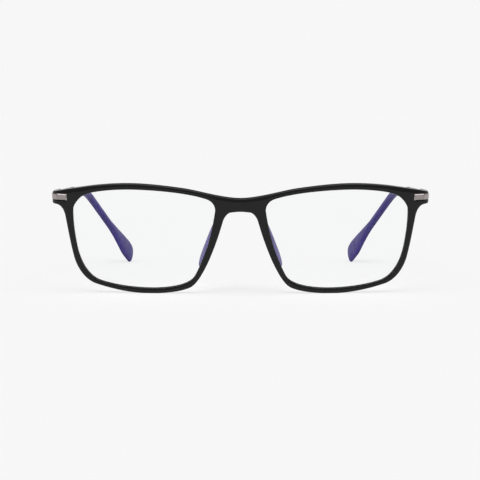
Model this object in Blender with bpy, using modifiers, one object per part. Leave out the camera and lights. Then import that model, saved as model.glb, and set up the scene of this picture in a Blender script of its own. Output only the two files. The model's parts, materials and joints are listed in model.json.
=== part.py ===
"""Blue light glasses: a full-rim plastic front with two lenses, metal temples and soft tips.

All drawing is in millimetres and degrees, and place() scales each mesh to metres.
Three drawing frames are used:
  front frame   x across, z up the front, y back through its depth; it leans forward
  hinge frame   origin on the hinge pin, y along the open temple, z along the pin
  pad frame     origin on the back of the nasal rim, y back along the pad, z along its height
Only the +X half is drawn, which is on the wearer's left. The -X pieces are its mirror images.
"""

import math

import bmesh
import bpy
from mathutils import Matrix, Vector

METRES = 0.001
GAP = 0.3

# ---------------------------------------------------------------- stance
FRONT_LEAN = 6.0
TEMPLE_SLOPE = 1.8
STAND_BACK = -65.77
STAND_UP = -0.21

# ---------------------------------------------------------------- front
RIM_DEPTH = 3.4
EDGE_ROUNDING = 0.5
SPAN_POINTS = 7
LENS_CENTRE = (35.6, 20.9)
LENS_CURVE_RADIUS = 130.0
FACE_WRAP = 6.0
BRIDGE_HALF = 9.0
END_X = 70.1

# Outline knots run clockwise: x, z, heading, reach back, reach on.
FRONT_HALF_OUTLINE = [
    (0.0, 35.4, 0, 5.0, 6.6),
    (21.3, 39.2, 8, 6.0, 5.9),
    (40.0, 40.8, 0, 6.0, 5.7),
    (58.0, 39.2, -10, 6.3, 4.1),
    (END_X - 0.7, 37.0, -13, 3.6, 0.4),
    (END_X, 36.3, -90, 0.4, 0.9),
    (END_X, 33.4, -90, 0.9, 0.4),
    (END_X - 0.7, 32.7, -173, 0.4, 0.7),
    (68.5, 32.6, -173, 0.4, 1.8),
    (64.9, 28.0, -101, 2.9, 5.0),
    (61.9, 13.1, -104, 5.2, 4.1),
    (53.9, 3.2, -163, 4.3, 5.9),
    (34.0, 0.0, -180, 7.1, 6.2),
    (18.4, 2.5, -210, 3.1, 2.0),
    (14.1, 7.8, -241, 1.9, 3.9),
    (9.8, 17.3, -249, 3.9, 4.1),
    (6.4, 27.6, -253, 4.0, 1.1),
    (3.7, 30.5, -188, 1.1, 1.0),
    (0.0, 30.8, -180, 1.0, 1.0),
]
OPENING_OUTLINE = [
    (40.0, 39.0, 0, 8.6, 7.0),
    (57.1, 36.9, -19, 3.5, 4.6),
    (62.2, 30.9, -88, 4.0, 4.5),
    (60.8, 16.8, -101, 4.5, 6.1),
    (51.8, 4.0, -164, 5.0, 6.2),
    (33.2, 1.7, -180, 5.6, 6.0),
    (17.4, 5.6, -227, 4.0, 2.1),
    (11.7, 18.9, -254, 3.6, 3.6),
    (9.2, 30.6, -261, 4.5, 2.1),
    (12.5, 35.6, -341, 2.6, 7.4),
]

# ---------------------------------------------------------------- lens
LENS_SET_BACK = 0.8
LENS_THICKNESS = 1.8
LENS_RIM_OVERLAP = 0.2
LENS_BEVEL_REACH = 0.8
LENS_RINGS = 4

# ---------------------------------------------------------------- end piece and trim
END_PIECE_X = 62.4
END_PIECE_LOW = 32.0
END_PIECE_DEPTH = 9.0
CORNER_RADIUS = 2.2
CORNER_RELIEF = 0.03
TRIM_START_X = 64.4
TRIM_END_Y = 4.4
TRIM_Z = (34.1, 36.35)
TRIM_THICKNESS = 0.8
TRIM_PROUD = 0.12

# ---------------------------------------------------------------- hinge
PIVOT = (62.8, 13.6, 35.0)
BARREL_RADIUS = 1.2
PIN_RADIUS = 0.5
PIN_BORE_RADIUS = 0.8
BARREL_HALF = 2.4
KNUCKLE_HALF = 0.8
LEAF_THICKNESS = 0.8
LEAF_FACE_Y = -1.5
LEAF_X = (-1.3, 4.2)
LEAF_HALF_HEIGHT = 2.3
SIDE_WALL_X = 4.5
LEAF_SCREW_X = 2.9
LEAF_SCREW_Z = 1.25
LEAF_SCREW_RADIUS = 0.45
LEAF_SCREW_DEPTH = 1.3
PIN_HEAD_RADIUS = 1.0
PIN_HEAD_HEIGHT = 0.7

# ---------------------------------------------------------------- nose pad
PAD_ROOT = (10.75, 3.2, 17.6)
PAD_LEAN = -21.0
PAD_SPLAY = -12.0
PAD_SIZE = (2.4, 6.8, 19.4)
PAD_ROUNDING = 1.0
PAD_START_Y = 0.6
FIN_SIZE = (0.8, 5.4, 7.0)
FIN_START_Y = -0.5

# ---------------------------------------------------------------- temple, measured along its length
STRAIGHT = 77.7
BEND_RADIUS = 25.3
DROP = 38.68
TEMPLE_X = 4.3
TOE_IN = 0.014
TIP_TOE_IN = 0.344
CORE_END = 126.0
CORE_SIZE = (1.0, 1.8)
# length along, thickness, height, outward shift, upward shift
ARM_SECTIONS = [
    (0.15, 3.8, 4.0, 1.0),
    (3.5, 3.8, 4.0, 1.0),
    (7.0, 2.6, 3.8, 0.45),
    (11.0, 1.8, 3.5, 0.12),
    (16.0, 1.5, 3.4, 0.0),
    (59.4, 1.5, 3.4, 0.0),
    (59.7, 1.2, 3.0, 0.0),
]
SLEEVE_SECTIONS = [
    (60.0, 2.1, 3.0, 0.0, 0.0),
    (60.6, 2.6, 3.5, 0.0, 0.0),
    (77.7, 2.6, 3.5, 0.0, 0.0),
    (100.0, 2.6, 3.2, 0.0, 0.0),
    (108.0, 2.6, 3.2, 0.0, 0.0),
    (111.0, 2.6, 3.7, 0.0, 0.1),
    (114.0, 2.6, 4.5, 0.0, 0.2),
    (117.0, 2.6, 5.7, 0.0, 0.1),
    (120.0, 2.6, 7.1, 0.0, 0.0),
    (122.5, 2.6, 8.4, 0.0, -0.2),
    (125.0, 2.6, 9.4, 0.0, -0.3),
    (127.0, 2.6, 9.7, 0.0, -0.2),
    (129.0, 2.6, 9.8, 0.0, 0.0),
    (131.6, 2.3, 9.5, 0.0, 0.0),
    (132.4, 2.0, 7.6, 0.0, 0.7),
    (133.0, 1.7, 5.5, 0.0, 1.4),
    (133.6, 1.3, 3.8, 0.0, 1.6),
]
TEMPLE_LEAF_X = (2.2, 3.0)
TEMPLE_LEAF_Y = (0.4, 9.0)
TEMPLE_LEAF_HALF_HEIGHT = 1.9


def clear_scene():
    """Remove every object that the file starts with."""
    for ob in list(bpy.data.objects):
        bpy.data.objects.remove(ob, do_unlink=True)


def new_collection(name):
    """A collection linked to the scene."""
    collection = bpy.data.collections.new(name)
    bpy.context.scene.collection.children.link(collection)
    return collection


def material(name, color, roughness, metallic=0.0, transmission=0.0):
    """A Principled material with one plain colour."""
    mat = bpy.data.materials.new(name)
    mat.use_nodes = True
    shader = mat.node_tree.nodes["Principled BSDF"]
    shader.inputs["Base Color"].default_value = (*color, 1.0)
    shader.inputs["Roughness"].default_value = roughness
    shader.inputs["Metallic"].default_value = metallic
    shader.inputs["Transmission Weight"].default_value = transmission
    mat.diffuse_color = (*color, 1.0)
    return mat


# ---------------------------------------------------------------- outlines
def heading(angle):
    """The unit vector that points along an angle in an outline's plane."""
    return Vector((math.cos(math.radians(angle)), math.sin(math.radians(angle))))


def span(start, end, count):
    """Points along one cubic span between two knots, without its end."""
    a, d = Vector(start[:2]), Vector(end[:2])
    b = a + heading(start[2]) * start[4]
    c = d - heading(end[2]) * end[3]
    points = []
    for i in range(count):
        t = i / count
        s = 1 - t
        points.append(a * s**3 + b * 3 * s * s * t + c * 3 * s * t * t + d * t**3)
    return points


def smooth_outline(knots, count=SPAN_POINTS):
    """A closed outline through its knots."""
    points = []
    for i, knot in enumerate(knots):
        points += span(knot, knots[(i + 1) % len(knots)], count)
    return points


def front_outline():
    """The whole front's outer outline, from its half and the half's mirror image."""
    half = []
    for start, end in zip(FRONT_HALF_OUTLINE, FRONT_HALF_OUTLINE[1:]):
        near = (Vector(end[:2]) - Vector(start[:2])).length < 3.0
        half += span(start, end, 2 if near else SPAN_POINTS)
    half.append(Vector(FRONT_HALF_OUTLINE[-1][:2]))
    other = [Vector((-p.x, p.y)) for p in reversed(half[1:-1])]
    return half + other


def grown(points, distance):
    """A clockwise outline moved outward by a distance."""
    moved = []
    for i, point in enumerate(points):
        along = (points[(i + 1) % len(points)] - points[i - 1]).normalized()
        moved.append(point + Vector((-along.y, along.x)) * distance)
    return moved


# ---------------------------------------------------------------- meshes
def evaluated(ob):
    """A copy of an object's final mesh. The object is removed."""
    bpy.context.view_layer.update()
    graph = bpy.context.evaluated_depsgraph_get()
    mesh = bpy.data.meshes.new_from_object(ob.evaluated_get(graph))
    mesh.transform(ob.matrix_world)
    bpy.data.objects.remove(ob, do_unlink=True)
    return mesh


def scene_object(data):
    """A passing object that holds mesh or curve data while it is worked on."""
    ob = bpy.data.objects.new("work", data)
    bpy.context.scene.collection.objects.link(ob)
    return ob


def mesh_from(work):
    """A mesh from a finished bmesh, with its faces pointing out."""
    bmesh.ops.recalc_face_normals(work, faces=work.faces)
    mesh = bpy.data.meshes.new("work")
    work.to_mesh(mesh)
    work.free()
    return mesh


def slab(outlines, depth, rounding=0.0):
    """A flat plate in the front frame from y = 0 to depth; outlines after the first are holes."""
    curve = bpy.data.curves.new("work", "CURVE")
    curve.dimensions = "2D"
    curve.fill_mode = "BOTH"
    curve.extrude = depth / 2 - rounding
    curve.bevel_depth = rounding
    curve.bevel_resolution = 1
    curve.offset = -rounding
    for number, points in enumerate(outlines):
        ordered = points if number == 0 else list(reversed(points))
        spline = curve.splines.new("POLY")
        spline.points.add(len(ordered) - 1)
        for spline_point, point in zip(spline.points, ordered):
            spline_point.co = (point.x, point.y, 0.0, 1.0)
        spline.use_cyclic_u = True
    mesh = evaluated(scene_object(curve))
    mesh.transform(Matrix.Translation((0, depth / 2, 0)) @ Matrix.Rotation(math.radians(90), 4, "X"))
    work = bmesh.new()
    work.from_mesh(mesh)
    bmesh.ops.remove_doubles(work, verts=work.verts, dist=0.0001)
    return mesh_from(work)


def upright(points, low, high):
    """A prism from a plan outline of (x, y) points, from z = low to high."""
    work = bmesh.new()
    face = work.faces.new([work.verts.new((x, y, low)) for x, y in points])
    made = bmesh.ops.extrude_face_region(work, geom=[face])
    top = [v for v in made["geom"] if isinstance(v, bmesh.types.BMVert)]
    bmesh.ops.translate(work, verts=top, vec=(0, 0, high - low))
    return mesh_from(work)


def box(low, high, bevel=0.0):
    """A box between two corners, with its edges rounded if asked."""
    work = bmesh.new()
    bmesh.ops.create_cube(work, size=1.0)
    size = Vector(high) - Vector(low)
    bmesh.ops.scale(work, vec=size, verts=work.verts)
    bmesh.ops.translate(work, vec=(Vector(low) + Vector(high)) / 2, verts=work.verts)
    if bevel:
        bmesh.ops.bevel(work, geom=work.edges[:], offset=bevel, segments=3, profile=0.5, affect="EDGES")
    return mesh_from(work)


def cylinder(radius, low, high, sides=20):
    """A cylinder along z."""
    work = bmesh.new()
    turn = Matrix.Translation((0, 0, (low + high) / 2))
    bmesh.ops.create_cone(
        work, cap_ends=True, segments=sides, radius1=radius, radius2=radius, depth=high - low, matrix=turn
    )
    return mesh_from(work)


def turned(profile, steps=20):
    """A solid of revolution about z; the profile runs from its top centre to its bottom centre."""
    mesh = bpy.data.meshes.new("work")
    edges = [(i, i + 1) for i in range(len(profile) - 1)]
    mesh.from_pydata([(r, 0.0, z) for r, z in profile], edges, [])
    ob = scene_object(mesh)
    screw = ob.modifiers.new("turn", "SCREW")
    screw.steps = screw.render_steps = steps
    screw.use_merge_vertices = True
    screw.merge_threshold = 0.0001
    return evaluated(ob)


def loft(rings):
    """A closed solid through rings that have the same number of points."""
    work = bmesh.new()
    rows = [[work.verts.new(p) for p in ring] for ring in rings]
    for near, far in zip(rows, rows[1:]):
        for i, vert in enumerate(near):
            j = (i + 1) % len(near)
            work.faces.new((vert, near[j], far[j], far[i]))
    work.faces.new(rows[0])
    work.faces.new(rows[-1])
    return mesh_from(work)


def combined(mesh, tool, operation):
    """The Boolean of two meshes."""
    ob, other = scene_object(mesh), scene_object(tool)
    step = ob.modifiers.new("combine", "BOOLEAN")
    step.operation = operation
    step.object = other
    result = evaluated(ob)
    bpy.data.objects.remove(other, do_unlink=True)
    return result


def moved(mesh, matrix):
    """The same mesh, transformed."""
    mesh.transform(matrix)
    return mesh


def mirrored(mesh):
    """A copy mirrored across x = 0."""
    work = bmesh.new()
    work.from_mesh(mesh)
    bmesh.ops.scale(work, vec=(-1, 1, 1), verts=work.verts)
    bmesh.ops.reverse_faces(work, faces=work.faces)
    other = bpy.data.meshes.new("work")
    work.to_mesh(other)
    work.free()
    return other


# ---------------------------------------------------------------- frames
def face_curve(x, z):
    """How far back the front's face lies: two lens curves, wrapped, and joined at the bridge."""
    wrap = math.tan(math.radians(FACE_WRAP))
    rise = (z - LENS_CENTRE[1]) ** 2 / (2 * LENS_CURVE_RADIUS)
    across = max(abs(x), BRIDGE_HALF) - LENS_CENTRE[0]
    back = wrap * across + across**2 / (2 * LENS_CURVE_RADIUS)
    if abs(x) < BRIDGE_HALF:
        slope = wrap + across / LENS_CURVE_RADIUS
        back += slope * (x * x - BRIDGE_HALF**2) / (2 * BRIDGE_HALF)
    return back + rise


def bent(mesh):
    """A mesh drawn on a flat front, as triangles moved on to the front's curve."""
    work = bmesh.new()
    work.from_mesh(mesh)
    bmesh.ops.triangulate(work, faces=work.faces)
    for vert in work.verts:
        vert.co.y += face_curve(vert.co.x, vert.co.z)
    return mesh_from(work)


HINGE_FRAME = Matrix.Translation(PIVOT) @ Matrix.Rotation(math.radians(-FRONT_LEAN - TEMPLE_SLOPE), 4, "X")
PAD_FRAME = (
    Matrix.Translation(PAD_ROOT)
    @ Matrix.Rotation(math.radians(PAD_LEAN), 4, "Y")
    @ Matrix.Rotation(math.radians(PAD_SPLAY), 4, "Z")
)


def temple_place(along):
    """The centre and the three axes (sideways, forward, upward) of the temple at a length along it."""
    turn_length = BEND_RADIUS * math.radians(DROP)
    turn = min(max(along - STRAIGHT, 0.0), turn_length)
    run = max(along - STRAIGHT - turn_length, 0.0)
    angle = turn / BEND_RADIUS
    x = TEMPLE_X - TOE_IN * along - TIP_TOE_IN * (turn * turn / (2 * turn_length) + run)
    y = min(along, STRAIGHT) + BEND_RADIUS * math.sin(angle) + run * math.cos(angle)
    z = -BEND_RADIUS * (1 - math.cos(angle)) - run * math.sin(angle)
    toe = TOE_IN + TIP_TOE_IN * turn / turn_length
    forward = Vector((-toe, math.cos(angle), -math.sin(angle))).normalized()
    upward = Vector((0, math.sin(angle), math.cos(angle)))
    sideways = forward.cross(upward).normalized()
    return Vector((x, y, z)), sideways, forward, upward


def bar_ring(along, thickness, height, out=0.0, chamfer=0.3):
    """A section of a flat bar with chamfered corners."""
    centre, sideways, _, upward = temple_place(along)
    centre += sideways * out
    a, b, c = thickness / 2, height / 2, min(chamfer, thickness / 4)
    corners = [(a - c, -b), (a, c - b), (a, b - c), (a - c, b), (c - a, b), (-a, b - c), (-a, c - b), (c - a, -b)]
    return [centre + sideways * u + upward * v for u, v in corners]


def oval_ring(along, thickness, height, out=0.0, up=0.0, sides=16, squareness=2.6):
    """A section of the sleeve: an oval with full shoulders."""
    centre, sideways, _, upward = temple_place(along)
    centre += sideways * out + upward * up
    ring = []
    for i in range(sides):
        turn = 2 * math.pi * (i + 0.5) / sides
        c, s = math.cos(turn), math.sin(turn)
        u = math.copysign(abs(c) ** (2 / squareness), c) * thickness / 2
        v = math.copysign(abs(s) ** (2 / squareness), s) * height / 2
        ring.append(centre + sideways * u + upward * v)
    return ring


def stations(sections, step=4.0):
    """Sections with more of them put between where the temple bends."""
    dense = []
    for near, far in zip(sections, sections[1:]):
        dense.append(near)
        bends = far[0] > STRAIGHT and near[0] < STRAIGHT + BEND_RADIUS * math.radians(DROP)
        count = math.ceil((far[0] - near[0]) / step) if bends else 1
        for i in range(1, count):
            dense.append(tuple(a + (b - a) * i / count for a, b in zip(near, far)))
    dense.append(sections[-1])
    return dense


# ---------------------------------------------------------------- front pieces
def lens_solid(grow=0.0):
    """The +X lens on a flat front: two faces and a V bevel all round. It also cuts its own groove."""
    edge = smooth_outline(OPENING_OUTLINE)
    rim = grown(edge, LENS_RIM_OVERLAP + grow)
    apex = grown(edge, LENS_BEVEL_REACH + grow)
    near, far = LENS_SET_BACK - grow, LENS_SET_BACK + LENS_THICKNESS + grow
    centre = Vector(LENS_CENTRE)
    work = bmesh.new()

    def ring(points, y, share=1.0):
        """One ring of verts, drawn in towards the centre by a share."""
        spots = [centre + (p - centre) * share for p in points]
        return [work.verts.new((p.x, y, p.y)) for p in spots]

    rings = [ring(rim, near, (i + 1) / LENS_RINGS) for i in range(LENS_RINGS)]
    rings.append(ring(apex, (near + far) / 2))
    rings += [ring(rim, far, (LENS_RINGS - i) / LENS_RINGS) for i in range(LENS_RINGS)]
    for inner, outer in zip(rings, rings[1:]):
        for i, vert in enumerate(inner):
            j = (i + 1) % len(inner)
            work.faces.new((vert, inner[j], outer[j], outer[i]))
    for last, y in ((rings[0], near), (rings[-1], far)):
        middle = work.verts.new((centre.x, y, centre.y))
        for i, vert in enumerate(last):
            work.faces.new((vert, last[(i + 1) % len(last)], middle))
    return mesh_from(work)


def corner_band(outer, inner, start_x, end_y):
    """A plan outline that follows the end piece round its corner, between two distances from its face."""
    turn_x, turn_y = END_X - CORNER_RADIUS, CORNER_RADIUS

    def side(distance):
        """The path at one distance outside the face."""
        radius = CORNER_RADIUS + distance
        arc = []
        for i in range(7):
            angle = math.radians(-90 + 15 * i)
            arc.append((turn_x + radius * math.cos(angle), turn_y + radius * math.sin(angle)))
        return [(start_x, -distance), *arc, (END_X + distance, end_y)]

    return side(outer) + list(reversed(side(inner)))


def trim_band(grow=0.0):
    """The trim plate on a flat front, or with grow the pocket that it sits in."""
    plan = corner_band(TRIM_PROUD + 4 * grow, -TRIM_THICKNESS - grow, TRIM_START_X - grow, TRIM_END_Y + grow)
    return upright(plan, TRIM_Z[0] - grow, TRIM_Z[1] + grow)


def pad_fin():
    """The plastic fin on the back of the nasal rim that the soft pad slips over."""
    half, depth, height = FIN_SIZE[0] / 2, FIN_SIZE[1], FIN_SIZE[2] / 2
    return moved(box((-half, FIN_START_Y, -height), (half, depth, height)), PAD_FRAME)


def leaf_screw_place(up):
    """Where a leaf screw's axis meets the leaf's back; its head faces back."""
    spot = Matrix.Translation((LEAF_SCREW_X, LEAF_FACE_Y, LEAF_SCREW_Z * up))
    return HINGE_FRAME @ spot @ Matrix.Rotation(math.radians(-90), 4, "X")


def front_half_cutters():
    """What is cut from the +X half of the bent front."""
    seat_y = LEAF_FACE_Y - LEAF_THICKNESS - GAP
    cutters = [
        moved(box((-7, seat_y, -9), (SIDE_WALL_X, 9, 9)), HINGE_FRAME),
        moved(box((-7, -0.15, -9), (12, 12, 9)), HINGE_FRAME),
        bent(trim_band(GAP)),
    ]
    for up in (1, -1):
        hole = cylinder(LEAF_SCREW_RADIUS + GAP, seat_y - LEAF_FACE_Y - LEAF_SCREW_DEPTH - GAP, 1.0, 12)
        cutters.append(moved(hole, leaf_screw_place(up)))
    return cutters


def front_frame():
    """The front: rims, bridge and end pieces in one moulding."""
    opening = smooth_outline(OPENING_OUTLINE)
    other = [Vector((-p.x, p.y)) for p in reversed(opening)]
    mesh = slab([front_outline(), opening, other], END_PIECE_DEPTH, EDGE_ROUNDING)
    wide, narrow, low, high = END_X + 5, END_PIECE_X, -5, 45
    behind = [(-narrow, high), (narrow, high), (narrow, END_PIECE_LOW), (wide, END_PIECE_LOW)]
    behind += [(wide, low), (-wide, low), (-wide, END_PIECE_LOW), (-narrow, END_PIECE_LOW)]
    back_waste = slab([[Vector(point) for point in behind]], END_PIECE_DEPTH)
    mesh = combined(mesh, moved(back_waste, Matrix.Translation((0, RIM_DEPTH, 0))), "DIFFERENCE")
    beyond = corner_band(3.0, CORNER_RELIEF, END_X - CORNER_RADIUS - 1, END_PIECE_DEPTH + 1)
    for side in (lambda m: m, mirrored):
        mesh = combined(mesh, side(upright(beyond, 30, 42)), "DIFFERENCE")
        mesh = combined(mesh, side(lens_solid(GAP)), "DIFFERENCE")
    mesh = bent(mesh)
    for side in (lambda m: m, mirrored):
        for cutter in front_half_cutters():
            mesh = combined(mesh, side(cutter), "DIFFERENCE")
        mesh = combined(mesh, side(pad_fin()), "UNION")
    return mesh


def nose_pad():
    """A soft pillow with a slot at the front for the fin."""
    half, height = PAD_SIZE[0] / 2, PAD_SIZE[2] / 2
    pillow = box((-half, PAD_START_Y, -height), (half, PAD_START_Y + PAD_SIZE[1], height), PAD_ROUNDING)
    slot_half, slot_height = FIN_SIZE[0] / 2 + GAP, FIN_SIZE[2] / 2 + GAP
    slot = box((-slot_half, -2, -slot_height), (slot_half, FIN_SIZE[1] + GAP, slot_height))
    return moved(combined(pillow, slot, "DIFFERENCE"), PAD_FRAME)


def front_hinge():
    """The front leaf with its two knuckles."""
    back = LEAF_FACE_Y - LEAF_THICKNESS
    mesh = box((LEAF_X[0], back, -LEAF_HALF_HEIGHT), (LEAF_X[1], LEAF_FACE_Y, LEAF_HALF_HEIGHT))
    low = KNUCKLE_HALF + GAP
    for up in (1, -1):
        ends = sorted((low * up, BARREL_HALF * up))
        mesh = combined(mesh, cylinder(BARREL_RADIUS, *ends), "UNION")
        web = box((-0.9, LEAF_FACE_Y - 0.2, ends[0]), (0.9, -0.2, ends[1]))
        mesh = combined(mesh, web, "UNION")
        hole = cylinder(LEAF_SCREW_RADIUS + GAP, -3, 3, 12)
        spot = Matrix.Translation((LEAF_SCREW_X, LEAF_FACE_Y, LEAF_SCREW_Z * up))
        mesh = combined(mesh, moved(hole, spot @ Matrix.Rotation(math.radians(-90), 4, "X")), "DIFFERENCE")
    mesh = combined(mesh, cylinder(PIN_BORE_RADIUS, -4, 4), "DIFFERENCE")
    return moved(mesh, HINGE_FRAME)


def domed_screw(shank_radius, head_radius, head_low, head_height, tip):
    """A slotted screw along z: a domed head on a plain shank."""
    profile = [(0, head_low + head_height)]
    for angle in (30, 60):
        reach = math.radians(angle)
        profile.append((head_radius * math.sin(reach), head_low + head_height * (0.25 + 0.75 * math.cos(reach))))
    profile += [(head_radius, head_low + head_height * 0.25), (head_radius, head_low)]
    profile += [(shank_radius, head_low), (shank_radius, tip), (0, tip)]
    mesh = turned(profile)
    slot_half, top = head_radius * 0.16, head_low + head_height
    slot = box((-2 * head_radius, -slot_half, top - head_height * 0.45), (2 * head_radius, slot_half, top + 1))
    return combined(mesh, slot, "DIFFERENCE")


def hinge_screw():
    """The pin of the hinge, with its head above the top knuckle."""
    mesh = domed_screw(PIN_RADIUS, PIN_HEAD_RADIUS, BARREL_HALF + GAP, PIN_HEAD_HEIGHT, -BARREL_HALF)
    return moved(mesh, HINGE_FRAME)


def leaf_screw(up):
    """One of the two small screws that hold the front leaf."""
    seat_y = -LEAF_THICKNESS - GAP
    mesh = domed_screw(LEAF_SCREW_RADIUS, 0.9, GAP, 0.45, seat_y - LEAF_SCREW_DEPTH)
    return moved(mesh, leaf_screw_place(up))


# ---------------------------------------------------------------- temple pieces, in the hinge frame
def temple_hinge():
    """The temple leaf with its one knuckle."""
    low, high = TEMPLE_LEAF_X
    half = TEMPLE_LEAF_HALF_HEIGHT
    mesh = box((low, TEMPLE_LEAF_Y[0], -half), (high, TEMPLE_LEAF_Y[1], half))
    mesh = combined(mesh, cylinder(BARREL_RADIUS, -KNUCKLE_HALF, KNUCKLE_HALF), "UNION")
    web = box((0.2, -0.6, -KNUCKLE_HALF), (high - 0.1, 1.0, KNUCKLE_HALF))
    mesh = combined(mesh, web, "UNION")
    return combined(mesh, cylinder(PIN_BORE_RADIUS, -4, 4), "DIFFERENCE")


def temple_arm():
    """The metal arm and the core wire that runs on inside the sleeve."""
    rings = [bar_ring(*section) for section in ARM_SECTIONS]
    core = [(59.9, *CORE_SIZE), (STRAIGHT, *CORE_SIZE), (CORE_END, *CORE_SIZE)]
    rings += [bar_ring(*section) for section in stations(core)]
    return loft(rings)


def temple_tip():
    """The soft sleeve over the core wire, flattened and widened towards its end."""
    mesh = loft([oval_ring(*section) for section in stations(SLEEVE_SECTIONS)])
    width, height = CORE_SIZE[0] + 2 * GAP, CORE_SIZE[1] + 2 * GAP
    channel = [(50.0, width, height), (STRAIGHT, width, height), (CORE_END + 2 * GAP, width, height)]
    return combined(mesh, loft([bar_ring(*section) for section in stations(channel)]), "DIFFERENCE")


# ---------------------------------------------------------------- assembly
def empty(name, location, turn_x=0.0, parent=None):
    """An empty that pieces are parented to."""
    ob = bpy.data.objects.new(name, None)
    bpy.context.scene.collection.objects.link(ob)
    ob.location = Vector(location) * METRES
    ob.rotation_euler = (math.radians(turn_x), 0, 0)
    ob.parent = parent
    return ob


def place(name, mesh, mat, parent, collection):
    """Put a finished mesh in the scene as a named object."""
    mesh.name = name
    mesh.transform(Matrix.Scale(METRES, 4))
    mesh.materials.clear()
    mesh.materials.append(mat)
    mesh.shade_smooth()
    mesh.set_sharp_from_angle(angle=math.radians(35))
    ob = bpy.data.objects.new(name, mesh)
    ob.parent = parent
    collection.objects.link(ob)
    return ob


def main():
    """Build every piece."""
    clear_scene()
    parts = new_collection("blue_light_glasses")
    black = material("gloss_black", (0.015, 0.015, 0.017), 0.16)
    clear = material("clear_lens", (0.97, 0.98, 1.0), 0.03, transmission=1.0)
    gunmetal = material("gunmetal", (0.30, 0.27, 0.265), 0.32, 1.0)
    steel = material("dark_steel", (0.16, 0.16, 0.17), 0.35, 1.0)
    purple = material("purple_soft", (0.065, 0.045, 0.20), 0.38)
    silicone = material("purple_silicone", (0.10, 0.075, 0.22), 0.45)

    stand = empty("stand", (0, STAND_BACK, STAND_UP))
    front = empty("front", (0, 0, 0), FRONT_LEAN, stand)
    place("front_frame", front_frame(), black, front, parts)
    lean = Matrix.Rotation(math.radians(FRONT_LEAN), 4, "X")
    for side, name in ((lambda m: m, "left"), (mirrored, "right")):
        place(f"lens_{name}", side(bent(lens_solid())), clear, front, parts)
        place(f"nose_pad_{name}", side(nose_pad()), silicone, front, parts)
        place(f"trim_plate_{name}", side(bent(trim_band())), gunmetal, front, parts)
        place(f"front_hinge_{name}", side(front_hinge()), steel, front, parts)
        place(f"hinge_screw_{name}", side(hinge_screw()), steel, front, parts)
        for up, level in ((1, "upper"), (-1, "lower")):
            place(f"leaf_screw_{level}_{name}", side(leaf_screw(up)), steel, front, parts)
        pivot = lean @ Vector(PIVOT)
        pivot.x *= 1 if name == "left" else -1
        temple = empty(f"temple_{name}", pivot, -TEMPLE_SLOPE, stand)
        place(f"temple_hinge_{name}", side(temple_hinge()), steel, temple, parts)
        place(f"temple_arm_{name}", side(temple_arm()), gunmetal, temple, parts)
        place(f"temple_tip_{name}", side(temple_tip()), purple, temple, parts)


main()
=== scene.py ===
"""The looks of the blue light glasses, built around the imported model.

All drawing is in millimetres and degrees, and place() scales each mesh to metres.
Drawing frames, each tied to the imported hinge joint:
  front frame   x across, z up the front, y back through its depth; it leans forward
  hinge frame   origin on the hinge pin, y along the open temple, z along the pin
  pad frame     origin on the back of the nasal rim, y back along the pad, z along its height
Only the +X half is drawn, which is on the wearer's left. The -X pieces are its mirror images.
"""

import json
import math

import bmesh
import bpy
from mathutils import Matrix, Vector
from mathutils.kdtree import KDTree


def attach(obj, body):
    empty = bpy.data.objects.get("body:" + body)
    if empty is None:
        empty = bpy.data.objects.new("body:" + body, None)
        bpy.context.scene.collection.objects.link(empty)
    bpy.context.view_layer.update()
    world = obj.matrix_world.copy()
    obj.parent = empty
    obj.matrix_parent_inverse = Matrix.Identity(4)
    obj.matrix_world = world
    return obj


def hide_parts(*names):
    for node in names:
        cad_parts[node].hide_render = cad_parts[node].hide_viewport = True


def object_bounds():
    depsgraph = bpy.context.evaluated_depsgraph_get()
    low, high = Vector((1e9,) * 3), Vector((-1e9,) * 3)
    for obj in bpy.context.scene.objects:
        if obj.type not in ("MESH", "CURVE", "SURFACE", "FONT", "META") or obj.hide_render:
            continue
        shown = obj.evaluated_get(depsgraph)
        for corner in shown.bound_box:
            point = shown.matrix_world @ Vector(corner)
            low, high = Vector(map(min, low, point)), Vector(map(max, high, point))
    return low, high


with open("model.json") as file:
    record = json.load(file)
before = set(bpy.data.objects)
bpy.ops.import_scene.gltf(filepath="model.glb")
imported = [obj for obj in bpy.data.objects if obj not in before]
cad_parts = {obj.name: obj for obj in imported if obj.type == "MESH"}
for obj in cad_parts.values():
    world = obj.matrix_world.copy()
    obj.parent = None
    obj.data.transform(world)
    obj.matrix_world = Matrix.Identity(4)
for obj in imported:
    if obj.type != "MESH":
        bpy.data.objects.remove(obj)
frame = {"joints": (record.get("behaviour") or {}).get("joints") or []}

CAD_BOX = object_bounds()
METRES = 0.001

# ---------------------------------------------------------------- front
# The CAD's outline, but for a rounder upper outer corner in the opening and finer edges.
FRONT_LEAN = 6.0
PIVOT = (62.8, 13.6, 35.0)
RIM_DEPTH = 3.4
EDGE_ROUNDING = 0.25
SPAN_POINTS = 20
LENS_CENTRE = (35.6, 20.9)
LENS_CURVE_RADIUS = 130.0
FACE_WRAP = 6.0
BRIDGE_HALF = 9.0
END_X = 70.1

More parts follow.
